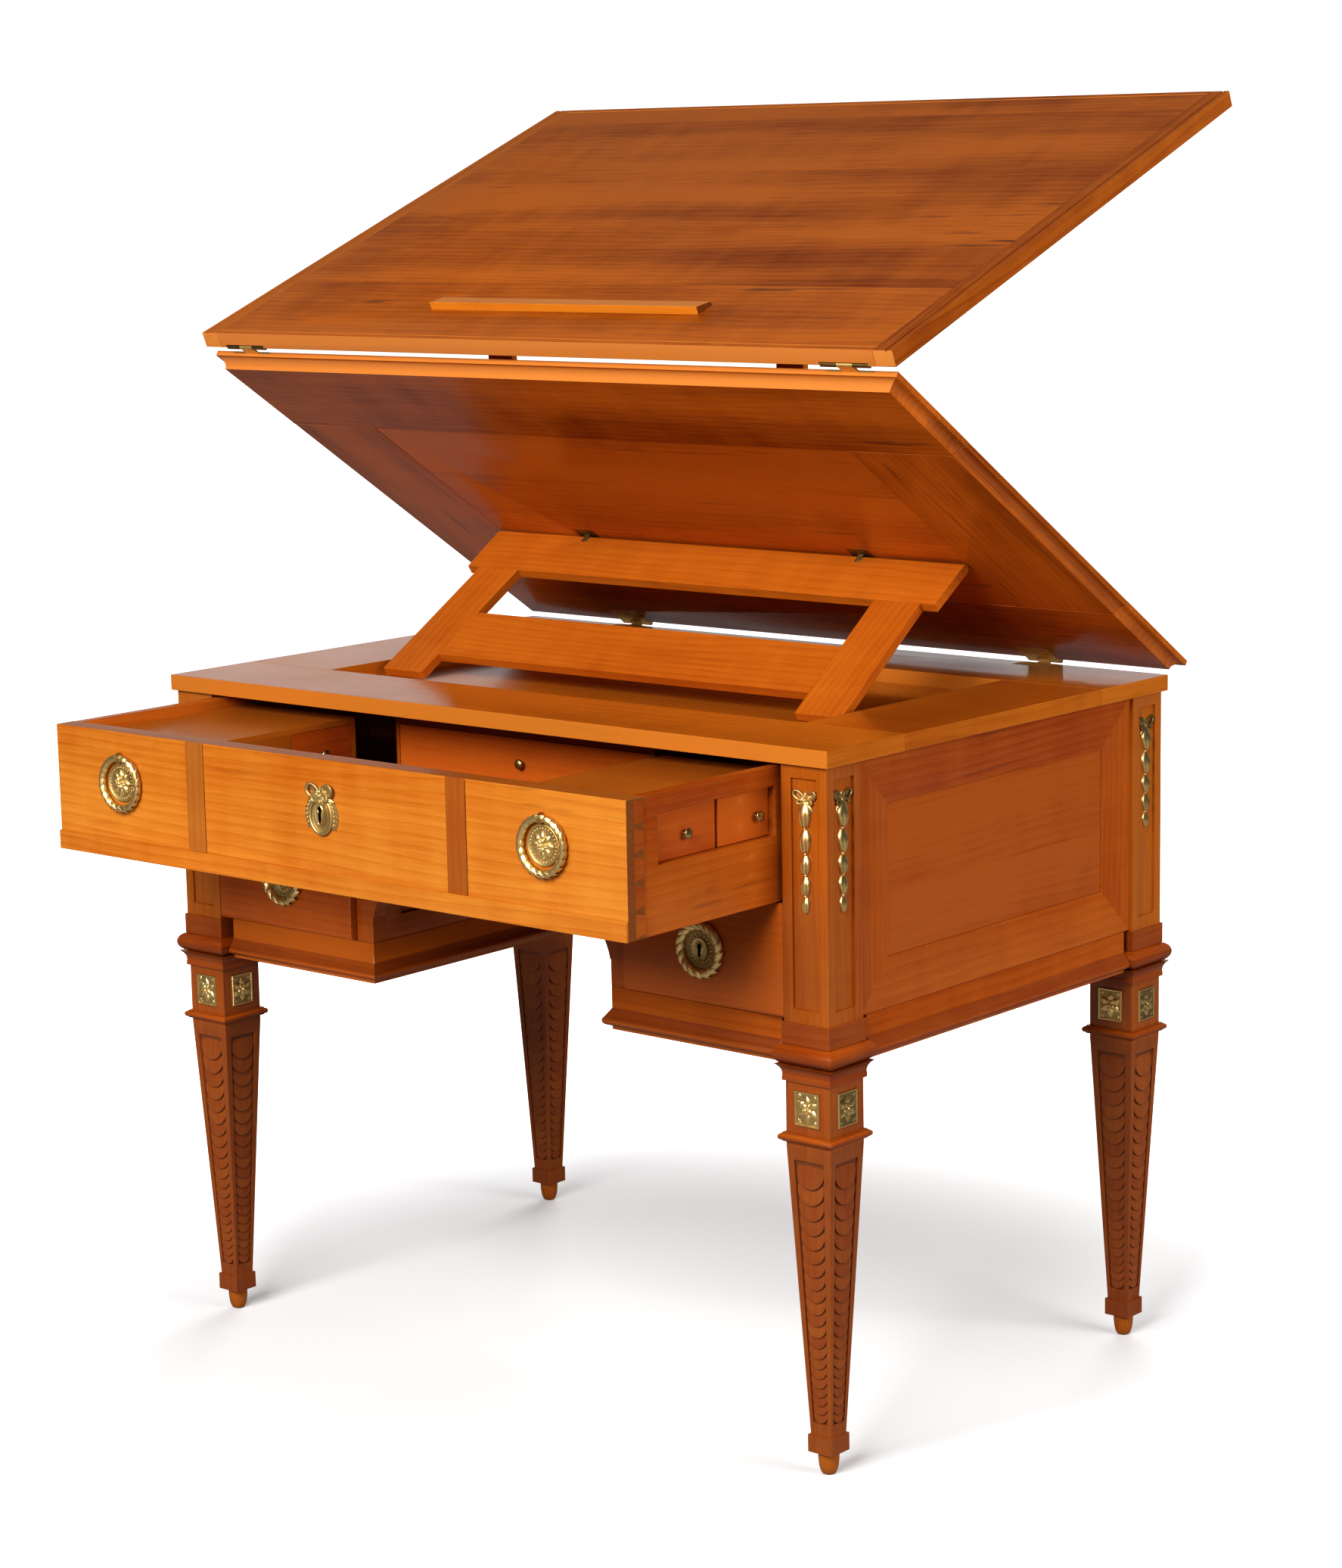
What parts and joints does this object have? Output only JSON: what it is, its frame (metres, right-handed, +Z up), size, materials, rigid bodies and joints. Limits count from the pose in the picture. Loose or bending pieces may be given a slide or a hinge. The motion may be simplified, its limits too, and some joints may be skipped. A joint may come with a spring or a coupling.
{
  "type": "architect table",
  "caption": "Writing table on tapered legs with two pedestals, a frieze drawer holding small drawers, and two rising leaves on a folding strut.",
  "frame": {"origin": "on the floor, midway between the farthest points of the table with its leaves raised and its drawer out", "axes": "+X to the right of a person who faces the front, +Y to the back, +Z up"},
  "size_m": [0.9772, 0.9354, 1.3763],
  "materials": {
    "carcass_wood": "waxed red-brown fruitwood with a soft shine",
    "panel_wood": "waxed figured fruitwood panels",
    "tip_wood": "lighter turned fruitwood",
    "gilt_bronze": "chased gilt bronze, rubbed on the high points",
    "inside_wood": "plain oiled secondary wood",
    "top_wood": "polished red-brown fruitwood with a bright shine",
    "leaf_wood": "polished red-brown fruitwood with a fine grain",
    "strut_wood": "waxed fruitwood, a little lighter than the leaves",
    "front_wood": "polished figured fruitwood veneer",
    "pod_wood": "waxed fruitwood",
    "brass": "aged brass"
  },
  "bodies": {
    "carcass": {"leg_front_right": "carcass_wood", "leg_back_right": "carcass_wood", "leg_front_left": "carcass_wood", "leg_back_left": "carcass_wood", "foot_tips": "tip_wood", "leg_mouldings": "carcass_wood", "rosette_plates": "gilt_bronze", "husk_drops": "gilt_bronze", "side_frames": "carcass_wood", "case_panels": "panel_wood", "kneehole_frames": "carcass_wood", "pedestal_bases": "carcass_wood", "front_frame": "carcass_wood", "dust_boards": "inside_wood", "drawer_runners": "inside_wood", "back_boards": "carcass_wood", "top_rails": "top_wood", "top_side_rails": "top_wood", "well_floor": "top_wood", "back_hinges_fixed": "brass"},
    "lower_leaf": {"lower_leaf_rails": "leaf_wood", "lower_leaf_stiles": "leaf_wood", "lower_leaf_panel": "leaf_wood", "lower_leaf_hinges": "brass", "strut_brackets": "brass"},
    "strut": {"strut_legs": "strut_wood", "strut_rails": "strut_wood"},
    "upper_leaf": {"upper_leaf_board": "leaf_wood", "upper_leaf_clamps": "leaf_wood", "fold_hinges_upper": "brass", "stay_brackets": "brass"},
    "stay": {"stay_frame": "strut_wood"},
    "book_rest": {"book_rest": "leaf_wood"},
    "frieze_drawer": {"drawer_front": "front_wood", "drawer_front_strips": "front_wood", "drawer_sides": "inside_wood", "drawer_tray": "inside_wood", "drawer_pods": "pod_wood", "pull_backplates": "gilt_bronze", "bow_escutcheon": "gilt_bronze"},
    "ring_right": {"ring_right": "gilt_bronze"},
    "ring_left": {"ring_left": "gilt_bronze"},
    "pedestal_drawer_right": {"pedestal_drawer_right": "front_wood", "pedestal_escutcheon_right": "gilt_bronze"},
    "pedestal_drawer_left": {"pedestal_drawer_left": "front_wood", "pedestal_escutcheon_left": "gilt_bronze"},
    "small_drawer_outer_front_right": {"small_drawer_outer_front_right": "pod_wood", "small_knob_outer_front_right": "brass"},
    "small_drawer_outer_front_left": {"small_drawer_outer_front_left": "pod_wood", "small_knob_outer_front_left": "brass"},
    "small_drawer_outer_back_right": {"small_drawer_outer_back_right": "pod_wood", "small_knob_outer_back_right": "brass"},
    "small_drawer_outer_back_left": {"small_drawer_outer_back_left": "pod_wood", "small_knob_outer_back_left": "brass"},
    "small_drawer_inner_right": {"small_drawer_inner_right": "pod_wood", "small_knob_inner_right": "brass"},
    "small_drawer_inner_left": {"small_drawer_inner_left": "pod_wood", "small_knob_inner_left": "brass"},
    "small_drawer_rear": {"small_drawer_rear": "pod_wood", "small_knob_rear": "brass"}
  },
  "joints": [
    {"name": "lower_leaf_hinge", "type": "hinge", "parent": "carcass", "child": "lower_leaf", "pos_m": [0, 0.38298, 0.75295], "axis": [1, 0, 0], "range_deg": [0, 33.36]},
    {"name": "strut_hinge", "type": "hinge", "parent": "lower_leaf", "child": "strut", "pos_m": [0, 0.17827, 0.87701], "axis": [1, 0, 0], "range_deg": [-67.04, 0.2]},
    {"name": "upper_leaf_hinge", "type": "hinge", "parent": "lower_leaf", "child": "upper_leaf", "pos_m": [0, -0.13942, 1.11497], "axis": [1, 0, 0], "range_deg": [-55.31, 0]},
    {"name": "stay_hinge", "type": "hinge", "parent": "upper_leaf", "child": "stay", "pos_m": [0, 0.04811, 1.18467], "axis": [1, 0, 0], "range_deg": [-0.2, 110.82]},
    {"name": "book_rest_slide", "type": "slide", "parent": "upper_leaf", "child": "book_rest", "axis": [0, -0.3738, 0.9275], "range_m": [-0.0085, 0]},
    {"name": "frieze_drawer_slide", "type": "slide", "parent": "carcass", "child": "frieze_drawer", "axis": [0, -1, 0], "range_m": [-0.23, 0.11]},
    {"name": "ring_right_swing", "type": "hinge", "parent": "frieze_drawer", "child": "ring_right", "pos_m": [0.302, -0.46142, 0.702], "axis": [-1, 0, 0], "range_deg": [0, 80]},
    {"name": "pedestal_drawer_right_slide", "type": "slide", "parent": "carcass", "child": "pedestal_drawer_right", "axis": [0, -1, 0], "range_m": [0, 0.3]},
    {"name": "small_drawer_outer_front_right_slide", "type": "slide", "parent": "frieze_drawer", "child": "small_drawer_outer_front_right", "axis": [1, 0, 0], "range_m": [0, 0.06]},
    {"name": "small_drawer_outer_back_right_slide", "type": "slide", "parent": "frieze_drawer", "child": "small_drawer_outer_back_right", "axis": [1, 0, 0], "range_m": [0, 0.06]},
    {"name": "small_drawer_inner_right_slide", "type": "slide", "parent": "frieze_drawer", "child": "small_drawer_inner_right", "axis": [-1, 0, 0], "range_m": [0, 0.03]},
    {"name": "ring_left_swing", "type": "hinge", "parent": "frieze_drawer", "child": "ring_left", "pos_m": [-0.302, -0.46142, 0.702], "axis": [-1, 0, 0], "range_deg": [0, 80]},
    {"name": "pedestal_drawer_left_slide", "type": "slide", "parent": "carcass", "child": "pedestal_drawer_left", "axis": [0, -1, 0], "range_m": [0, 0.3]},
    {"name": "small_drawer_outer_front_left_slide", "type": "slide", "parent": "frieze_drawer", "child": "small_drawer_outer_front_left", "axis": [-1, 0, 0], "range_m": [0, 0.06]},
    {"name": "small_drawer_outer_back_left_slide", "type": "slide", "parent": "frieze_drawer", "child": "small_drawer_outer_back_left", "axis": [-1, 0, 0], "range_m": [0, 0.06]},
    {"name": "small_drawer_inner_left_slide", "type": "slide", "parent": "frieze_drawer", "child": "small_drawer_inner_left", "axis": [1, 0, 0], "range_m": [0, 0.03]},
    {"name": "small_drawer_rear_slide", "type": "slide", "parent": "frieze_drawer", "child": "small_drawer_rear", "axis": [0, -1, 0], "range_m": [0, 0.1]}
  ],
  "couplings": [
    {"joint": "strut_hinge", "follows": "lower_leaf_hinge", "ratio": -2.0035},
    {"joint": "stay_hinge", "follows": "upper_leaf_hinge", "ratio": -2}
  ]
}
